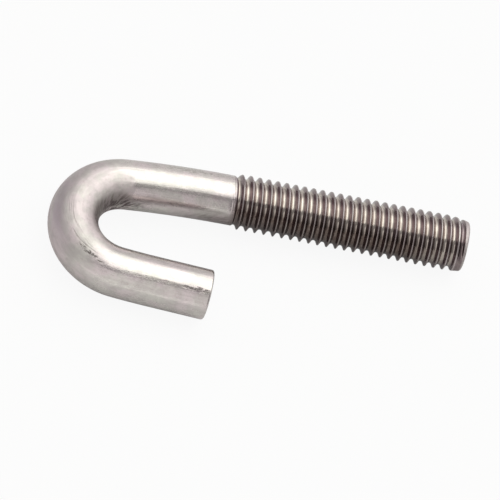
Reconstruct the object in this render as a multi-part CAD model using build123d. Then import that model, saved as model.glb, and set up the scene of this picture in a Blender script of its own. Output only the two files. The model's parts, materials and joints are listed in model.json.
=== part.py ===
"""J bolt: a round rod with a rolled screw thread at one end and a hook bent in the other.

One solid, in millimetres. The thread's axis is X, its tip is at the origin and it runs
towards -X. The hook lies in the XY plane, with its short leg on the -Y side. The thread
is modelled by the surface over its crests, so a hole that clears the solid clears it.
"""

import math
import os

from build123d import *

# Thread: 3/8-16 UNC. It is rolled, so its crests stand proud of the rod.
MAJOR_D = 9.525
THREAD_LENGTH = 41.0  # from the rod to the tip
RISE = 0.8  # length in which the first crest rises from the rod to the full diameter
TIP_CHAMFER = 1.0  # length along the axis
TIP_D = 8.1  # diameter of the flat end

# Rod: the wire size that such a thread is rolled on, near its pitch diameter.
ROD_D = 8.55

# Bend, on the rod's centreline from the thread to the cut end: it eases in, turns
# almost right round and eases out, so the leg ends a little splayed.
EASE_IN_R = 175.0
EASE_IN_DEG = 6.2
BEND_R = 9.25
BEND_DEG = 167.6
EASE_OUT_R = 127.0
EASE_OUT_DEG = 2.7
LEG_LENGTH = 9.9
CUT_ROUND = 0.35  # edge radius of the cut face

BEND = ((EASE_IN_R, EASE_IN_DEG), (BEND_R, BEND_DEG), (EASE_OUT_R, EASE_OUT_DEG))
THREAD_START = -THREAD_LENGTH


def thread():
    """The threaded end, turned from its half section: rise, crests, chamfer and flat tip."""
    half = Polyline(
        (THREAD_START, 0),
        (THREAD_START, ROD_D / 2),
        (THREAD_START + RISE, MAJOR_D / 2),
        (-TIP_CHAMFER, MAJOR_D / 2),
        (0, TIP_D / 2),
        (0, 0),
        close=True,
    )
    return revolve(make_face(half), Axis.X, 360)


def bent(start, radius, degrees):
    """A length of rod bent towards the hook's side, and the plane at its far end."""
    side = Vector(0, 0, 1).cross(start.z_dir)
    centre = start.origin + side * radius
    piece = revolve(start * Circle(ROD_D / 2), Axis(centre, (0, 0, 1)), degrees)
    turn = math.radians(degrees)
    heading = start.z_dir * math.cos(turn) + side * math.sin(turn)
    outward = start.z_dir * math.sin(turn) - side * math.cos(turn)
    return piece, Plane(origin=centre + outward * radius, z_dir=heading)


def hook():
    """The lengths of rod from the thread to the cut face, whose edge is rounded."""
    rod = []
    at = Plane(origin=(THREAD_START, 0, 0), z_dir=(-1, 0, 0))
    for radius, degrees in BEND:
        piece, at = bent(at, radius, degrees)
        rod.append(piece)
    leg = extrude(at * Circle(ROD_D / 2), amount=LEG_LENGTH)
    rims = leg.edges().filter_by(GeomType.CIRCLE).sort_by_distance(at.origin)
    rod.append(fillet(rims[-1], CUT_ROUND))
    return rod


bolt = thread() + hook()
os.makedirs("parts", exist_ok=True)
export_step(bolt, "parts/j_bolt.step")
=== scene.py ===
"""The J bolt's looks: its rod, rolled thread and cut ends, on a pale floor in soft studio light.

The bolt is shaped as a straight one and then bent, as the real one is. On the straight bolt, x falls
from the tip to the hook's cut end, and angles run round the axis from +Y, behind, to +Z, on top. The
hook bends to the front. Lengths are in metres and angles in radians, except that marks are placed in
millimetres and degrees.
"""
import json
import math
from types import SimpleNamespace

import bmesh
import bpy
import numpy as np
from mathutils import Matrix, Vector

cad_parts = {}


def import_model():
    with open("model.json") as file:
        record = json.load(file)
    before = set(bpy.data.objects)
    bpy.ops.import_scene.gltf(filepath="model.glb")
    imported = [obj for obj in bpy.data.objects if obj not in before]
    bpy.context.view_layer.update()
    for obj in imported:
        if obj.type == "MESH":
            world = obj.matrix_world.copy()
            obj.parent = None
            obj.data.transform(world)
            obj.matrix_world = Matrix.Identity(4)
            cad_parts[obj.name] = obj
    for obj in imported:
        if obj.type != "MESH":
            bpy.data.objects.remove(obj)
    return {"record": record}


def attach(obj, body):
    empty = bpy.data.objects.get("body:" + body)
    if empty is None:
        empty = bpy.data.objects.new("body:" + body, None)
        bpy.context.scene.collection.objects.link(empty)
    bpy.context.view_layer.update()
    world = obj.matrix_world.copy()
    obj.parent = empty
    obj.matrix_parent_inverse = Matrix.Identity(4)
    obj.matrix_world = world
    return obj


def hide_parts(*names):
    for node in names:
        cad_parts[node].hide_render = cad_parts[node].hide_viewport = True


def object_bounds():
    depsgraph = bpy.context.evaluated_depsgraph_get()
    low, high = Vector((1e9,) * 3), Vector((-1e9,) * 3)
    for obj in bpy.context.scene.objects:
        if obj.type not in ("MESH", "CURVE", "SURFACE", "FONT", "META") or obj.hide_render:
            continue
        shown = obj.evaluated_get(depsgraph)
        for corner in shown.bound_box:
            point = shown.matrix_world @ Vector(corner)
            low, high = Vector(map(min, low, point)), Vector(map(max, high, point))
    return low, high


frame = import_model()
CAD_LOW, CAD_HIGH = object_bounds()
MOUNTS = {mount["name"]: mount for mount in frame["record"]["mounts"]}
MM = 0.001
DEGREE = math.pi / 180
TURN = 2 * math.pi

# Thread: 3/8-16 UNC with a rounded root, rolled, so its crests stand proud of the rod.
MAJOR_R = MOUNTS["thread"]["dims"]["r_mm"] * MM
PITCH = 25.4 / 16 * MM
THREAD_START = -41.0 * MM
TIP_X = CAD_HIGH.x
CREST_HALF = 0.042 * PITCH  # half of the crest's flat
CREST_BLEND = 0.03 * MM  # rounding of the crest's corners
ROOT_ROUND = 0.312 * PITCH  # radius of the root's arc
ROOT_HALF = 0.87 * ROOT_ROUND  # half of the root's arc, along the axis
FLANK_SLOPE = math.tan(60 * DEGREE)
RISE = 0.8 * MM  # length in which the crests rise from the rod to the full diameter
EDGE_BLEND = 0.02 * MM  # rounding where the thread meets its blank's surface
CREST_AT = -23.1 * MM  # where a crest crosses the +Y side
GROOVE_LEAST = 0.05  # what even a crest counts as groove, so that it takes some of the thread's finish

# Tip: its crests are cut down along a taper, given by x and radius, and its last groove is shallow.
# The sheared end is rounded, sharper on one side, and a little hollow.
TIP_TAPER = ((-3.4 * MM, MAJOR_R), (-1.7 * MM, 4.56 * MM), (-0.35 * MM, 4.24 * MM))
TIP_ROUND = 0.35 * MM
TIP_BLUNT = 20 * DEGREE  # the side that is cut down most
TIP_SHARP = 0.5  # how much of the taper the opposite side lacks
LAST_CREST = CREST_AT + 14 * PITCH
LAST_GROOVE = 0.9 * MM  # length before the tip in which the groove is filled
LAST_FILL = 0.85  # how far it is filled at the tip
LAST_ANGLE = 135 * DEGREE  # where the last turn of the groove starts to close
TIP_SADDLE = 0.11 * MM  # half of the most that the saddle takes off
TIP_LONG = 45 * DEGREE  # a side where the saddle leaves the full length
SADDLE_REACH = 2.5 * MM  # length that the saddle draws in

# Where the rolling starts, a little askew: a lip, a shoulder, and a first ridge that rises underneath.
RIM_AT = -41.5 * MM
RIM_SKEW = 0.33 * MM
RIM_TURN = 38 * DEGREE  # the side where the rim lies nearest the hook
SHOULDER = 0.40 * MM  # length in which the rod falls to the root
LIP_STEPS = np.array([0.07, 0.15, 0.23, 0.31, 0.39, 0.47, 0.55]) * MM  # from the rim to rings on the rod
LIP_DIP = 0.032 * MM  # depth of the dip in the rod that sets off the lip
LIP_DIP_AT = 0.36 * MM
LIP_DIP_WIDTH = 0.1 * MM
LIP_EDGE = 0.04 * MM  # depth at the rim itself
LIP_EDGE_WIDTH = 0.15 * MM
FIRST_ROOT = -41.64 * MM
FIRST_ANGLE = -90 * DEGREE  # where the first groove starts
FADE_IN = 60 * DEGREE  # angle in which a ridge rises, or a groove closes
LEAD_END = 265 * DEGREE  # where the flank before the first groove has run out
LEAD_FADE = 50 * DEGREE
LEAD_BLEND = 0.06 * MM

# Rod: the bend's radii and angles are the solid's, from the thread to the cut end.
ROD_R = MOUNTS["hook_leg"]["dims"]["r_mm"] * MM
BEND = ((175.0 * MM, 6.2 * DEGREE), (9.25 * MM, 167.6 * DEGREE), (127.0 * MM, 2.7 * DEGREE))
LEG_LENGTH = 9.9 * MM
CUT_ROUND = 0.35 * MM
ROD_LENGTH = sum(radius * turn for radius, turn in BEND) + LEG_LENGTH
WRINKLES = (16.5 * MM, 30.5 * MM)  # the wrinkled length inside the bend, from the thread
WRINKLE_DEPTH = 0.022 * MM
WRINKLE_WAVES = 5.0 / MM  # in radians to a length, along the rod and round it
WOBBLE = 1.5  # in radians
WOBBLE_WAVES = 1.3 / MM
WOBBLE_TURNS = 9  # waves round the rod

# Mesh.
AROUND = 128  # points round the bolt
ANGLES = np.arange(AROUND) * TURN / AROUND + FIRST_ANGLE
FLANK_ROWS = 4  # on each flank, and on each half of a root
ROD_STEPS = (0.3 * MM, 0.12 * MM, 0.3 * MM)  # between rings before, within and after the wrinkles
ROD_FIRST = 5 * ROD_STEPS[0]  # from the thread to the rod's first ring
CUT_ROWS = 7  # on the cut end's rounded edge
FACE_RINGS = np.array([0.8, 0.6, 0.4, 0.2, 0.02])[:, None]  # on the end faces, as shares of the radius
SAME_POINT = 1e-7  # points this close are merged

# Marks and painted shade, each with its strength, its middle in millimetres from the thread and degrees
# round the rod, and its half length and half width in the same units.
SCUFFS = (
    (1.6, 41.5, 62.5, 3.0, 8),  # on top of the bend
    (0.3, 50.5, 60.5, 8.0, 4),  # along the leg
    (1.4, 59.4, 60.5, 3.4, 6),  # at the leg's end
    (0.5, 8.0, 66, 9.0, 9),  # on the shank
)
# Painted shade, and painted dark reflections inside the bend and along the shank and the leg.
SHADES = (
    (1.0, 26.0, 160, 13.0, 27),  # inside the bend
    (1.0, 32.0, 154, 10.0, 32),  # and further round it
    (0.95, -2.0, 190, 15.0, 42),  # the shank's front, beside the thread
    (0.55, 54.5, 60.5, 11.0, 3.5),  # along the leg
    (0.8, 60.0, 58.5, 3.5, 3),  # at the leg's end
    (0.3, 52.0, 108, 14.0, 16),  # on top of the leg
)
# Painted dark reflection: a slanting line along the shank.
DARK_LINE = (0.6, 9.0, 156, 15.0, 8)  # a slanting line along the shank
LINE_SLANT = 0.8  # degrees to a millimetre
LINE_LEVEL = 10  # millimetres from the thread, where the line is at its own angle
# Painted shade, darker and lilac, outside the bend.
OUTER_SHADES = ((1.0, 32.0, 40, 7.0, 28), (0.6, 30.0, 28, 11.0, 55))  # outside the bend
# Wrinkles inside the bend, which also carry painted shade there.
CREASED = ((1.0, 23.0, 181, 10.0, 36),)  # inside the bend
SCORED = ((1.0, 37.0, 74, 6.5, 13),)  # on top of the bend

# Finish stretched by the bend, in the same units: where it starts and over which lengths it sets in, in
# front and behind, the angle and the blend between those two sides, and where and how it ends.
STRETCH_START = 17.8
STRETCH_SETS_IN = (1.2, 8.2)
STRETCH_BEHIND = 108
STRETCH_BLEND = 18
STRETCH_END = 45
STRETCH_FADE = 6

# Painted shade on the front of the thread: its two sides and how each fades, its end at the rod, and
# where and how far it is paler near the tip.
FRONT_SHADE_SIDES = (120, 260)
FRONT_SHADE_BLENDS = (35, 30)
FRONT_SHADE_END = 0.9
FRONT_SHADE_FADE = 0.5
FRONT_SHADE_PALE_AT = -38
FRONT_SHADE_PALE_FADE = 9
FRONT_SHADE_PALE_SHARE = 0.3

# Matte ends: the length before the last crest in which the finish changes, and how far before the tip
# the matte length reaches.
RUN_OUT = 0.5 * MM
MATTE_REACH = 2 * MM
MATTE_FADE = 1 * MM

# Depths of the groove at which the thread's finish, and its roots' colour, start and are full.
THREAD_FINISH = (0.0, 0.16)
ROOT_FINISH = (0.70, 0.95)

# Colours of the steel.
ROD_PINK = (0.68, 0.604, 0.612)
ROD_WARM = (0.652, 0.630, 0.593)
ROD_OUTER_SHADE = (0.42, 0.35, 0.405)
ROD_STREAK = (0.50, 0.455, 0.445)
ROD_MOTTLE = (0.48, 0.43, 0.435)
ROD_SPECK = (0.40, 0.33, 0.32)
ROD_FRONT_SHADE = (0.17, 0.13, 0.12)
THREAD_DARK = (0.26, 0.205, 0.222)
THREAD_PALE = (0.32, 0.265, 0.262)
THREAD_BLOTCH = (0.18, 0.135, 0.14)
THREAD_FRONT_SHADE = (0.092, 0.061, 0.053)
ROOT_PALE = (0.60, 0.54, 0.49)
ROOT_DARK = (0.45, 0.39, 0.355)
SHADE = (0.155, 0.127, 0.124)
CREASE_SHADE = (0.30, 0.27, 0.27)
STROKE = (0.15, 0.125, 0.125)
PIT = (0.14, 0.125, 0.115)
SCORE = (0.36, 0.32, 0.30)
SAWN = (0.42, 0.40, 0.39)
BUMP_HEIGHT = 0.014 * MM

# Camera, at the photograph's angle.
CAMERA_AZIMUTH = 15.02 * DEGREE
CAMERA_ELEVATION = 52.37 * DEGREE
CAMERA_ROLL = 22.93 * DEGREE
CAMERA_TARGET = (-37.53 * MM, -9.63 * MM, 0)
CAMERA_DISTANCE = 617.0 * MM
CAMERA_LENS = 262.1

# Room light, as radiance: before and behind the bolt, and the share of it in a darker corner.
ROOM_FRONT = 0.30
ROOM_BACK = 0.90
ROOM_TURN = (-0.6, 0.4)  # how far back a direction points where the one ends and the other starts
ROOM_TINT = (1.0, 0.98, 0.975)
CORNER_AT = (-0.65, 0.75, 0.0)
CORNER_EDGE = (0.6, 1.0)  # how near a direction is to the corner's where it starts and is darkest
CORNER_SHARE = 0.45

# Softbox overhead: what it adds, and where each edge's light starts and is full, as a slope from
# straight up.
BOX_LIGHT = 1.35
BOX_LEFT = (-0.28, -0.12)
BOX_RIGHT = (1.7, 0.4)
BOX_FRONT = (-0.44, -0.34)
BOX_BACK = (1.85, 0.4)
BOX_TINT = (0.975, 1.0, 0.935)
HORIZON = (0.02, 0.15)  # how far up a direction points where the softbox starts and is full

# A pale card that stands in front of the hook and the shank, out of view.
CARD_LIGHT = 0.58
CARD_TINT = (1.0, 0.98, 0.955)
CARD_LEFT = -170.0 * MM
CARD_RIGHT = -25.0 * MM
CARD_TOP = 95.0 * MM
CARD_Y = -90.0 * MM

# Floor: how far it reaches, and how much of it is plain white to the camera and in reflections.
FLOOR_HALF = 1.2
FLOOR_GREY = 0.7
FLOOR_WHITE = 0.92
FLOOR_WHITE_MIRRORED = 0.15


def smooth(value):
    """Smoothstep of a value that is first held to 0..1."""
    value = np.clip(value, 0, 1)
    return value * value * (3 - 2 * value)


def least(a, b, blend):
    """The smaller of two lengths, rounded over where they cross."""
    mix = np.clip(0.5 + 0.5 * (b - a) / blend, 0, 1)
    return b * (1 - mix) + a * mix - blend * mix * (1 - mix)


def flank_height(away):
    """Height above the root's bottom at a distance along the axis from the root's middle."""
    start = ROOT_ROUND * math.cos(30 * DEGREE)
    arc = ROOT_ROUND - np.sqrt(ROOT_ROUND**2 - np.minimum(away, start) ** 2)
    return arc + np.maximum(away - start, 0) * FLANK_SLOPE


DEPTH = float(flank_height(PITCH / 2 - CREST_HALF))
ROOT_R = MAJOR_R - DEPTH


def helix(x, angle):
    """How far x lies past the crest of its turn, as a share of the pitch."""
    return ((x - CREST_AT) / PITCH - angle / TURN) % 1


def rim(angle):
    """Where the rolling starts at an angle round the bolt."""
    return RIM_AT - RIM_SKEW * np.cos(angle - RIM_TURN)


def tip_radius(x, angle):
    """Radius that the blank's tapered and rounded tip allows."""
    places, radii = zip(*TIP_TAPER)
    tapered = np.interp(x, places, radii)
    sharp = TIP_SHARP * smooth(0.5 - 0.5 * np.cos(angle - TIP_BLUNT))
    tapered = tapered + (MAJOR_R - tapered) * sharp
    into_round = np.clip(x - places[-1], 0, TIP_ROUND)
    return tapered - TIP_ROUND + np.sqrt(TIP_ROUND**2 - into_round**2)


def ridge_height(x, angle):
    """Height of the thread above its root's bottom, and whether x lies before the first groove."""
    away = np.abs(helix(x, angle) - 0.5) * PITCH
    ridge = least(flank_height(away), DEPTH, CREST_BLEND)
    past_first = x - FIRST_ROOT - PITCH * (angle - FIRST_ANGLE) / TURN
    before_first = past_first < 0
    lead_in = least(flank_height(-past_first), ROD_R - ROOT_R, LEAD_BLEND)
    lead_in = lead_in * smooth((LEAD_END - angle) / LEAD_FADE)
    rising = ridge * smooth((angle - FIRST_ANGLE) / FADE_IN)
    return np.where(before_first, lead_in, np.where(past_first > PITCH, ridge, rising)), before_first


def last_groove(x, angle):
    """How far the groove is filled near the tip, 0 to 1, and how far its finish treats it as filled."""
    crest = LAST_CREST + PITCH * angle / TURN
    shallow = LAST_FILL * smooth((x - TIP_X) / LAST_GROOVE + 1)
    closing = np.where(x > crest - PITCH, smooth((angle - LAST_ANGLE) / FADE_IN), shallow)
    filled = np.where(x > crest, 1, closing)
    finished = np.where(x > crest, smooth((angle - FIRST_ANGLE) / FADE_IN), 0)
    return np.maximum(filled, shallow), np.maximum(finished, shallow)


def lip_dip(inside):
    """How far the lip round the rim is pressed in, by the distance past the rim."""
    dip = LIP_DIP * np.exp(-((inside + LIP_DIP_AT) / LIP_DIP_WIDTH) ** 2)
    return dip + LIP_EDGE * np.clip(1 - np.abs(inside) / LIP_EDGE_WIDTH, 0, 1) ** 2


def bolt_radius(x, angle):
    """Radius of the straight bolt at x and an angle, and how deep in the thread's groove it is, 0 to 1."""
    ridge, before_first = ridge_height(x, angle)
    inside = x - rim(angle)
    shoulder = ROD_R - DEPTH * smooth(inside / SHOULDER)
    rise = ROD_R + (MAJOR_R - ROD_R) * np.clip((x - THREAD_START) / RISE, 0, 1)
    crests = tip_radius(x, angle)

    def threaded(filled):
        grooved = ROOT_R + ridge + (DEPTH - ridge) * filled
        return least(np.maximum(grooved, shoulder), least(rise, crests, EDGE_BLEND), EDGE_BLEND)

    plain = inside <= 0
    filled, finished = last_groove(x, angle)
    radius = np.where(plain, ROD_R, threaded(filled)) - lip_dip(inside)
    surface = threaded(finished)
    depth = np.where(before_first, (ROD_R - surface) / (ROD_R - ROOT_R), (crests - surface) / DEPTH)
    return radius, np.where(plain, 0, GROOVE_LEAST + (1 - GROOVE_LEAST) * depth)


def helix_rows():
    """x of the thread's rows from the tip, which follow the helix between its ends, and rows to a pitch."""
    flank = np.linspace(CREST_HALF, PITCH / 2 - ROOT_HALF, FLANK_ROWS)
    root = np.linspace(PITCH / 2 - ROOT_HALF, PITCH / 2, FLANK_ROWS)[1:]
    half = np.concatenate([flank, root])
    steps = np.concatenate([half, (PITCH - half)[::-1][1:]])
    first = math.floor((RIM_AT - RIM_SKEW - CREST_AT) / PITCH) - 1
    last = math.ceil((TIP_X - CREST_AT) / PITCH) + 1
    starts = np.concatenate([CREST_AT + k * PITCH + steps for k in range(first, last)])
    x = starts[:, None] + PITCH * ANGLES[None] / TURN
    return np.clip(x, rim(ANGLES), TIP_X)[::-1], len(steps)


def rod_rings():
    """x of the rod's rings from the thread to the cut end's rounded edge."""
    before, within, after = ROD_STEPS
    runs = (
        np.arange(ROD_FIRST, WRINKLES[0], before),
        np.arange(*WRINKLES, within),
        np.arange(WRINKLES[1], ROD_LENGTH - CUT_ROUND, after),
    )
    return np.repeat(THREAD_START - np.concatenate(runs)[:, None], AROUND, axis=1)


def cut_edge():
    """x and radius of the rings on the cut end's rounded edge."""
    turn = np.linspace(0, math.pi / 2, CUT_ROWS)[:, None]
    x = THREAD_START - ROD_LENGTH + CUT_ROUND * (1 - np.sin(turn))
    radius = ROD_R - CUT_ROUND * (1 - np.cos(turn))
    return x + 0 * ANGLES, radius + 0 * ANGLES


def straight_bolt():
    """Rings of the straight bolt from its tip's face to its cut face: x, radius, groove and cut."""
    thread, per_pitch = helix_rows()
    x = np.concatenate([thread, rim(ANGLES) - LIP_STEPS[:, None], rod_rings()])
    radius, groove = bolt_radius(x, ANGLES[None])
    edge_x, edge_r = cut_edge()
    face = np.ones((len(FACE_RINGS), AROUND))
    x = np.concatenate([TIP_X * face, x, edge_x, (THREAD_START - ROD_LENGTH) * face])
    radius = np.concatenate([radius[0] * FACE_RINGS[::-1], radius, edge_r, edge_r[-1] * FACE_RINGS])
    groove = np.concatenate([0 * face, groove, 0 * edge_x, 0 * face])
    cut = np.ones_like(groove)
    cut[len(face):-len(face)] = 0
    return x, radius, groove, cut, quads(len(x), len(face), len(thread), per_pitch)


def quads(count, first, threaded, per_pitch):
    """Faces between the rings. The thread's rows join one pitch on where the angles close."""
    corner = np.arange(count * AROUND).reshape(count, AROUND)
    following = np.roll(corner, -1, axis=1)
    rows = np.arange(first, first + threaded)
    following[rows, -1] = corner[np.maximum(rows - per_pitch, first), 0]
    made = np.stack([corner[:-1], following[:-1], following[1:], corner[1:]], axis=2).reshape(-1, 4)
    return made.tolist() + [corner[0, ::-1].tolist(), corner[-1].tolist()]


def rounded(x, radius):
    """Points of the straight bolt's rings."""
    return np.stack([x, radius * np.cos(ANGLES), radius * np.sin(ANGLES)], axis=2)


def bend(x, radius):
    """Points of the bent bolt for rings of the straight one."""
    points = rounded(x, radius)
    out = points[..., 1].copy()
    left = THREAD_START - x
    at, heading = np.array([THREAD_START, 0.0]), math.pi
    for arc_r, turn in BEND:
        centre = at + arc_r * np.array([-math.sin(heading), math.cos(heading)])
        angle = heading + np.minimum(left, arc_r * turn) / arc_r
        middle = centre + arc_r * np.stack([np.sin(angle), -np.cos(angle)], axis=-1)
        carry(points, left > 0, middle, out, angle)
        left = left - arc_r * turn
        heading += turn
        at = centre + arc_r * np.array([math.sin(heading), -math.cos(heading)])
    leg = at + left[..., None] * np.array([math.cos(heading), math.sin(heading)])
    carry(points, left > 0, leg, out, heading)
    return points


def carry(points, here, middle, out, heading):
    """Moves the points that are here to stand out from the bent centreline, square to its heading."""
    points[..., 0] = np.where(here, middle[..., 0] + out * np.sin(heading), points[..., 0])
    points[..., 1] = np.where(here, middle[..., 1] - out * np.cos(heading), points[..., 1])


def patch(along, degrees, centre_along, centre, length, spread):
    """1 in the middle of an oval patch of the surface and 0 outside it."""
    turned = (degrees - centre + 180) % 360 - 180
    away = np.hypot((along - centre_along) / length, turned / spread)
    return smooth(1.5 - 1.5 * away)


def patches(along, degrees, rows):
    """The strongest of several patches, each with its strength."""
    return np.maximum.reduce([strength * patch(along, degrees, *place) for strength, *place in rows])


def stretched(along, degrees):
    """Where bending has stretched the rod's finish, which sets in more slowly behind than in front."""
    front, behind = STRETCH_SETS_IN
    length = front + (behind - front) * smooth((STRETCH_BEHIND - degrees) / STRETCH_BLEND)
    return smooth((along - STRETCH_START) / length) * smooth((STRETCH_END - along) / STRETCH_FADE)


def stained(along, degrees):
    """Painted shade on the front of the thread, which is paler towards the tip."""
    low, high = FRONT_SHADE_SIDES
    low_blend, high_blend = FRONT_SHADE_BLENDS
    in_front = smooth((degrees - low) / low_blend) * smooth((high - degrees) / high_blend)
    in_thread = smooth((FRONT_SHADE_END - along) / FRONT_SHADE_FADE)
    from_tip = smooth((along - FRONT_SHADE_PALE_AT) / FRONT_SHADE_PALE_FADE)
    return in_front * in_thread * (FRONT_SHADE_PALE_SHARE + (1 - FRONT_SHADE_PALE_SHARE) * from_tip)


def run_out(x, angle):
    """1 past the last crest, 0 in the thread, and between them over a short length."""
    past = x - LAST_CREST - PITCH * angle / TURN
    last_turn = smooth((past + PITCH) / RUN_OUT + 1) * smooth((angle - LAST_ANGLE) / FADE_IN)
    return np.maximum(smooth(past / RUN_OUT + 1), last_turn)


def marks(x, angle):
    """How strongly each kind of mark, and of painted shade, shows on the surface, by its name."""
    degrees = angle / DEGREE
    along = (THREAD_START - x) / MM
    off_cut = smooth((ROD_LENGTH / MM - along) / (CUT_ROUND / MM))
    unslanted = degrees - (LINE_LEVEL - along) * LINE_SLANT
    shaded = np.maximum(patches(along, degrees, SHADES), patches(along, unslanted, (DARK_LINE,)))
    near_tip = smooth((x - TIP_X + MATTE_REACH) / MATTE_FADE)
    return {
        "worn": patches(along, degrees, SCUFFS) * off_cut,
        "creased": patches(along, degrees, CREASED),
        "scored": patches(along, degrees, SCORED),
        "shaded": shaded * off_cut,
        "dulled": patches(along, degrees, OUTER_SHADES),
        "stretched": stretched(along, degrees),
        "stained": stained(along, degrees),
        "matte": np.where(x < TIP_X, run_out(x, angle) * near_tip, 1),
    }


def wrinkles(x, angle):
    """Slanting waves that wobble, 0 to 2."""
    wobble = WOBBLE * np.sin(WOBBLE_TURNS * angle + WOBBLE_WAVES * x)
    return 1 + np.sin(WRINKLE_WAVES * (x - angle * ROD_R) + wobble)


def sheared(x, radius, angle):
    """x with the tip's end drawn in to a saddle."""
    saddle = TIP_SADDLE * (1 - np.cos(2 * (angle - TIP_LONG)))
    saddle = saddle * np.minimum(radius / TIP_TAPER[-1][1], 1) ** 2
    return x - saddle * smooth((x - TIP_X) / SADDLE_REACH + 1)


def bolt():
    """The bolt's one piece, with its marks stored for the material."""
    x, radius, groove, cut, faces = straight_bolt()
    angle = np.broadcast_to(ANGLES, x.shape)
    marked = {"groove": groove, "cut": cut, **marks(x, angle)}
    radius = radius - WRINKLE_DEPTH * marked["creased"] * wrinkles(x, angle)
    mesh = bpy.data.meshes.new("bolt")
    points = bend(sheared(x, radius, angle), radius)
    mesh.from_pydata(points.reshape(-1, 3).tolist(), [], faces)
    write(mesh, "straight", rounded(x, radius) / MM)
    write(mesh, "unrolled", np.stack([x, ROD_R * angle, 0 * x], axis=2) / MM)
    for name, values in marked.items():
        write(mesh, name, values)
    clean(mesh)
    piece = bpy.data.objects.new("bolt", mesh)
    bpy.context.scene.collection.objects.link(piece)
    mesh.materials.append(steel(marked))
    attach(piece, "root")
    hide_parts("j_bolt")


def write(mesh, name, values):
    """Stores a number, or a vector, for each point of the mesh."""
    kind, field = ("FLOAT_VECTOR", "vector") if values.ndim == 3 else ("FLOAT", "value")
    made = mesh.attributes.new(name, kind, "POINT")
    made.data.foreach_set(field, values.astype(np.float32).ravel())


def clean(mesh):
    """Merges the points that the thread's rows share at its ends, and shades the mesh smooth."""
    made = bmesh.new()
    made.from_mesh(mesh)
    bmesh.ops.remove_doubles(made, verts=made.verts, dist=SAME_POINT)
    bmesh.ops.dissolve_degenerate(made, edges=made.edges, dist=SAME_POINT)
    loose = [vert for vert in made.verts if not vert.link_faces]
    bmesh.ops.delete(made, geom=loose, context="VERTS")
    bmesh.ops.recalc_face_normals(made, faces=made.faces)
    for face in made.faces:
        face.smooth = True
    made.to_mesh(mesh)
    made.free()


class Graph:
    """A node tree, with short ways to add the nodes that this script uses."""

    def __init__(self, owner):
        owner.use_nodes = True
        self.tree = owner.node_tree

    def add(self, kind, **settings):
        node = self.tree.nodes.new(kind)
        for name, value in settings.items():
            setattr(node, name, value)
        return node

    def feed(self, socket, value):
        """Links another node's output to a socket, or sets the socket to a value."""
        if isinstance(value, bpy.types.NodeSocket):
            self.tree.links.new(value, socket)
        else:
            socket.default_value = value

    def math(self, operation, *values, clamp=False):
        node = self.add("ShaderNodeMath", operation=operation, use_clamp=clamp)
        for socket, value in zip(node.inputs, values):
            self.feed(socket, value)
        return node.outputs[0]

    def total(self, start, *terms):
        """Start, plus each term's value times its amount."""
        for value, amount in terms:
            start = self.math("MULTIPLY_ADD", value, amount, start)
        return start

    def vector(self, operation, *values):
        node = self.add("ShaderNodeVectorMath", operation=operation)
        for socket, value in zip(node.inputs, values):
            self.feed(socket, value)
        return node.outputs["Value" if operation == "DOT_PRODUCT" else "Vector"]

    def ramp(self, value, low, high, bottom=0.0, top=1.0):
        """Smoothstep from bottom at low to top at high."""
        node = self.add("ShaderNodeMapRange", interpolation_type="SMOOTHSTEP")
        settings = {"Value": value, "From Min": low, "From Max": high, "To Min": bottom, "To Max": top}
        for name, setting in settings.items():
            self.feed(node.inputs[name], setting)
        return node.outputs["Result"]

    def noise(self, place, waves, detail, roughness=0.55):
        """Noise from 0 to 1, with so many waves to a unit of place along each axis."""
        node = self.add("ShaderNodeTexNoise")
        self.feed(node.inputs["Vector"], self.vector("MULTIPLY", place, waves))
        node.inputs["Scale"].default_value = 1.0
        node.inputs["Detail"].default_value = detail
        node.inputs["Roughness"].default_value = roughness
        return node.outputs["Fac"]

    def turned(self, place, degrees):
        """Place turned about its third axis."""
        node = self.add("ShaderNodeMapping")
        self.feed(node.inputs["Vector"], place)
        node.inputs["Rotation"].default_value = (0, 0, degrees * DEGREE)
        return node.outputs[0]

    def mix(self, share, a, b):
        """A colour between two colours."""
        node = self.add("ShaderNodeMix", data_type="RGBA")
        self.feed(node.inputs["Factor"], share)
        for socket, colour in ((node.inputs[6], a), (node.inputs[7], b)):
            self.feed(socket, (*colour, 1) if isinstance(colour, tuple) else colour)
        return node.outputs[2]

    def stored(self, name):
        return self.add("ShaderNodeAttribute", attribute_name=name)


def steel(names):
    """Satin stainless steel: drawn streaks, faint tints, scuffs, painted shade, and a darker, shinier
    rolled thread.
    """
    made = bpy.data.materials.new("steel")
    graph = Graph(made)
    mark = SimpleNamespace(**{name: graph.stored(name).outputs["Fac"] for name in names})
    mark.flank = graph.ramp(mark.groove, *THREAD_FINISH)
    mark.root = graph.ramp(mark.groove, *ROOT_FINISH)
    noise = noises(graph)
    add_damage(graph, mark, noise)
    bump = graph.add("ShaderNodeBump")
    bump.inputs["Distance"].default_value = BUMP_HEIGHT
    graph.feed(bump.inputs["Height"], relief(graph, mark, noise))
    shader = made.node_tree.nodes["Principled BSDF"]
    shader.inputs["Metallic"].default_value = 1.0
    graph.feed(shader.inputs["Base Color"], steel_colour(graph, mark, noise))
    graph.feed(shader.inputs["Roughness"], roughness(graph, mark, noise))
    graph.feed(shader.inputs["Normal"], bump.outputs["Normal"])
    return made


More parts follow.
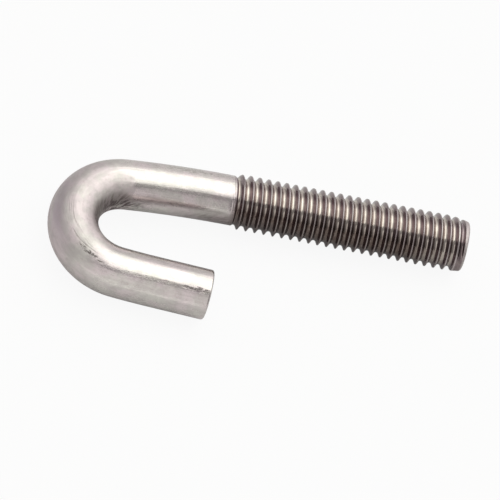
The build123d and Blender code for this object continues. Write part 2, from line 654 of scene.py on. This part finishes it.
def noises(graph):
    """The patterns of the steel. Their waves are to a millimetre, along the bolt first."""
    place = graph.stored("straight").outputs["Vector"]
    unrolled = graph.stored("unrolled").outputs["Vector"]
    return SimpleNamespace(
        streaks=graph.noise(place, (0.10, 1.8, 1.8), 4.0),
        lines=graph.noise(place, (0.2, 4.5, 4.5), 3.0),
        grain=graph.noise(place, (2.4, 2.8, 2.8), 4.0),
        clouds=graph.noise(place, (0.30, 0.40, 0.40), 3.0),
        blotches=graph.noise(place, (0.8, 0.5, 0.5), 4.0),
        mottle=graph.noise(place, (0.6, 0.75, 0.75), 4.0, 0.6),
        speckle=graph.noise(place, (1.3, 1.9, 1.9), 5.0, 0.7),
        peel=graph.noise(place, (0.9, 1.2, 1.2), 3.0),
        sawn=graph.noise(place, (0.0, 4.0, 0.25), 3.0),
        strokes=graph.noise(graph.turned(unrolled, 34), (0.5, 1.8, 1.0), 3.0, 0.6),
        nicks=graph.noise(graph.turned(unrolled, 8), (0.75, 2.3, 1.0), 4.0, 0.62),
        scores=graph.noise(graph.turned(unrolled, 3), (0.12, 3.2, 1.0), 2.0, 0.6),
    )


def add_damage(graph, mark, noise):
    """Adds to the marks the pits of the scuffs, the strokes of the creases and the score lines."""
    nicked = graph.ramp(noise.nicks, 0.46, 0.54, 0.08, 1.0)
    broken = graph.ramp(noise.speckle, 0.43, 0.51, 0.12, 1.0)
    mark.pits = graph.math("MULTIPLY", graph.math("MULTIPLY", mark.worn, nicked, clamp=True), broken)
    mark.strokes = graph.math("MULTIPLY", mark.creased, graph.ramp(noise.strokes, 0.48, 0.54))
    mark.scores = graph.math("MULTIPLY", mark.scored, graph.ramp(noise.scores, 0.50, 0.60))


def rod_colour(graph, mark, noise):
    """Pale steel in two faint tints, with painted shade outside the bend, and lines drawn along it."""
    colour = graph.mix(graph.ramp(noise.clouds, 0.38, 0.62), ROD_PINK, ROD_WARM)
    # Painted shade outside the bend.
    colour = graph.mix(graph.math("MULTIPLY", mark.dulled, 0.6), colour, ROD_OUTER_SHADE)
    unstretched = graph.total(1.0, (mark.stretched, -0.7))
    streaked = graph.math("MULTIPLY", unstretched, graph.ramp(noise.streaks, 0.40, 0.68, 0.0, 0.20))
    colour = graph.mix(streaked, colour, ROD_STREAK)
    colour = graph.mix(graph.ramp(noise.lines, 0.45, 0.70, 0.0, 0.25), colour, ROD_STREAK)
    colour = graph.mix(graph.ramp(noise.mottle, 0.40, 0.62, 0.0, 0.42), colour, ROD_MOTTLE)
    return graph.mix(graph.ramp(noise.speckle, 0.52, 0.70, 0.0, 0.30), colour, ROD_SPECK)


def thread_colour(graph, mark, noise):
    """Darker, blotched steel, with paler roots."""
    blotched = graph.ramp(noise.blotches, 0.38, 0.62)
    colour = graph.mix(graph.ramp(noise.grain, 0.35, 0.65), THREAD_DARK, THREAD_PALE)
    colour = graph.mix(graph.math("MULTIPLY", blotched, 0.3), colour, THREAD_BLOTCH)
    return graph.mix(mark.root, colour, graph.mix(blotched, ROOT_PALE, ROOT_DARK))


def steel_colour(graph, mark, noise):
    """The rod's and the thread's colours, with the painted shade and the marks over them."""
    # Painted shade on the front of the thread, and weaker on the rod just beside it.
    front_shade_depth = graph.total(graph.ramp(noise.grain, 0.2, 0.6, 0.45, 0.72), (mark.root, 0.2))
    front_shade_share = graph.math("MULTIPLY", mark.stained, front_shade_depth)
    thread = graph.mix(front_shade_share, thread_colour(graph, mark, noise), THREAD_FRONT_SHADE)
    rod = graph.mix(graph.math("MULTIPLY", front_shade_share, 0.75), rod_colour(graph, mark, noise), ROD_FRONT_SHADE)
    colour = graph.mix(mark.flank, rod, thread)
    # Painted shade, broken up by the strokes' noise.
    shade = graph.math("MULTIPLY", mark.shaded, graph.ramp(noise.strokes, 0.35, 0.65, 0.55, 0.85))
    colour = graph.mix(shade, colour, SHADE)
    # Painted shade in the crease inside the bend.
    colour = graph.mix(graph.math("MULTIPLY", mark.creased, 0.25), colour, CREASE_SHADE)
    colour = graph.mix(mark.strokes, colour, STROKE)
    colour = graph.mix(graph.math("MULTIPLY", mark.pits, 0.8), colour, PIT)
    colour = graph.mix(graph.math("MULTIPLY", mark.scores, 0.55), colour, SCORE)
    return graph.mix(graph.math("MULTIPLY", mark.cut, 0.5), colour, SAWN)


def roughness(graph, mark, noise):
    """Satin, smoother in the thread and rougher where the steel is stretched, marked or cut."""
    return graph.total(
        0.13,
        (noise.streaks, 0.16),
        (noise.grain, 0.08),
        (mark.stretched, 0.26),
        (mark.matte, 0.35),
        (mark.flank, -0.09),
        (mark.pits, 0.2),
        (mark.creased, 0.15),
        (mark.cut, 0.12),
    )


def relief(graph, mark, noise):
    """Height of the finish: drawn lines, fainter in the thread, and the marks that dent it."""
    drawn = graph.total(0.0, (noise.streaks, 1.2), (noise.lines, 0.7), (noise.grain, 0.7))
    drawn = graph.math("MULTIPLY", drawn, graph.total(1.0, (mark.flank, -0.8)))
    peel = graph.math("MULTIPLY", mark.stretched, noise.peel)
    sawn = graph.math("MULTIPLY", mark.cut, noise.sawn)
    dents = ((mark.pits, -3.0), (mark.strokes, -3.0), (mark.scores, -3.0))
    return graph.total(drawn, (peel, 3.0), *dents, (sawn, 1.2))


def world():
    """A softbox overhead in a pale room that is darker in front. The camera sees white behind."""
    made = bpy.data.worlds.new("studio")
    bpy.context.scene.world = made
    graph = Graph(made)
    direction = graph.add("ShaderNodeTexCoord").outputs["Generated"]
    parts = graph.add("ShaderNodeSeparateXYZ")
    graph.feed(parts.inputs[0], direction)
    x, y, z = parts.outputs
    box = softbox(graph, x, y, z)
    room = graph.ramp(y, *ROOM_TURN, ROOM_FRONT, ROOM_BACK)
    towards_corner = graph.vector("DOT_PRODUCT", direction, CORNER_AT)
    room = graph.math("MULTIPLY", room, graph.ramp(towards_corner, *CORNER_EDGE, 1.0, CORNER_SHARE))
    seen = graph.add("ShaderNodeLightPath").outputs["Is Camera Ray"]
    strength = graph.add("ShaderNodeMix", data_type="FLOAT")
    graph.feed(strength.inputs[0], seen)
    graph.feed(strength.inputs[2], graph.total(room, (box, BOX_LIGHT)))
    strength.inputs[3].default_value = 1.0
    background = made.node_tree.nodes["Background"]
    graph.feed(background.inputs["Strength"], strength.outputs[0])
    tint = graph.mix(box, ROOM_TINT, BOX_TINT)
    graph.feed(background.inputs["Color"], graph.mix(seen, tint, (1.0, 1.0, 1.0)))


def softbox(graph, x, y, z):
    """1 in the directions of the softbox, with soft edges, and 0 elsewhere."""
    above = graph.math("MAXIMUM", z, HORIZON[0])
    across = graph.math("DIVIDE", x, above)
    deep = graph.math("DIVIDE", y, above)
    box = graph.ramp(z, *HORIZON)
    for slope, edge in ((across, BOX_LEFT), (across, BOX_RIGHT), (deep, BOX_FRONT), (deep, BOX_BACK)):
        box = graph.math("MULTIPLY", box, graph.ramp(slope, *edge))
    return box


def card():
    """A pale upright panel, low in front of the hook and the shank, which fills in their lower side."""
    data = bpy.data.lights.new("card", "AREA")
    data.shape = "RECTANGLE"
    width, height = CARD_RIGHT - CARD_LEFT, CARD_TOP - CAD_LOW.z
    data.size = width
    data.size_y = height
    data.energy = CARD_LIGHT * math.pi * width * height
    data.color = CARD_TINT
    made = bpy.data.objects.new("card", data)
    made.location = ((CARD_LEFT + CARD_RIGHT) / 2, CARD_Y, (CARD_TOP + CAD_LOW.z) / 2)
    made.rotation_euler = (math.pi / 2, 0, 0)
    made.visible_camera = False
    made.visible_diffuse = False
    bpy.context.scene.collection.objects.link(made)


def floor():
    """A wide pale floor under the bolt, nearly white to the camera and still shaded by the bolt."""
    mesh = bpy.data.meshes.new("floor")
    sides = ((-1, -1), (1, -1), (1, 1), (-1, 1))
    corners = [(FLOOR_HALF * x, FLOOR_HALF * y, CAD_LOW.z) for x, y in sides]
    mesh.from_pydata(corners, [], [(0, 1, 2, 3)])
    piece = bpy.data.objects.new("floor", mesh)
    bpy.context.scene.collection.objects.link(piece)
    made = bpy.data.materials.new("floor")
    graph = Graph(made)
    shader = made.node_tree.nodes["Principled BSDF"]
    shader.inputs["Base Color"].default_value = (FLOOR_GREY, FLOOR_GREY, FLOOR_GREY, 1)
    shader.inputs["Roughness"].default_value = 0.9
    path = graph.add("ShaderNodeLightPath").outputs
    mirrored = graph.math("ADD", path["Is Glossy Ray"], path["Is Transmission Ray"])
    seen = graph.math("MULTIPLY", path["Is Camera Ray"], FLOOR_WHITE)
    mixed = graph.add("ShaderNodeMixShader")
    graph.feed(mixed.inputs[0], graph.total(seen, (mirrored, FLOOR_WHITE_MIRRORED)))
    graph.feed(mixed.inputs[1], shader.outputs[0])
    graph.feed(mixed.inputs[2], graph.add("ShaderNodeEmission").outputs[0])
    graph.feed(made.node_tree.nodes["Material Output"].inputs["Surface"], mixed.outputs[0])
    mesh.materials.append(made)


def camera():
    """A long lens that looks down on the bolt, rolled as the photograph is."""
    data = bpy.data.cameras.new("camera")
    data.lens = CAMERA_LENS
    data.sensor_width = 36
    data.clip_end = 10
    level = math.cos(CAMERA_ELEVATION)
    ahead = np.array([
        math.sin(CAMERA_AZIMUTH) * level,
        math.cos(CAMERA_AZIMUTH) * level,
        -math.sin(CAMERA_ELEVATION),
    ])
    side = np.array([math.cos(CAMERA_AZIMUTH), -math.sin(CAMERA_AZIMUTH), 0])
    upright = np.cross(side, ahead)
    right = side * math.cos(CAMERA_ROLL) + upright * math.sin(CAMERA_ROLL)
    up = upright * math.cos(CAMERA_ROLL) - side * math.sin(CAMERA_ROLL)
    place = np.array(CAMERA_TARGET) - ahead * CAMERA_DISTANCE
    rows = [[right[i], up[i], -ahead[i], place[i]] for i in range(3)]
    made = bpy.data.objects.new("camera", data)
    bpy.context.scene.collection.objects.link(made)
    made.matrix_world = Matrix([*rows, [0, 0, 0, 1]])
    bpy.context.scene.camera = made


bolt()
floor()
world()
card()
camera()
bpy.context.scene.view_settings.view_transform = "Standard"
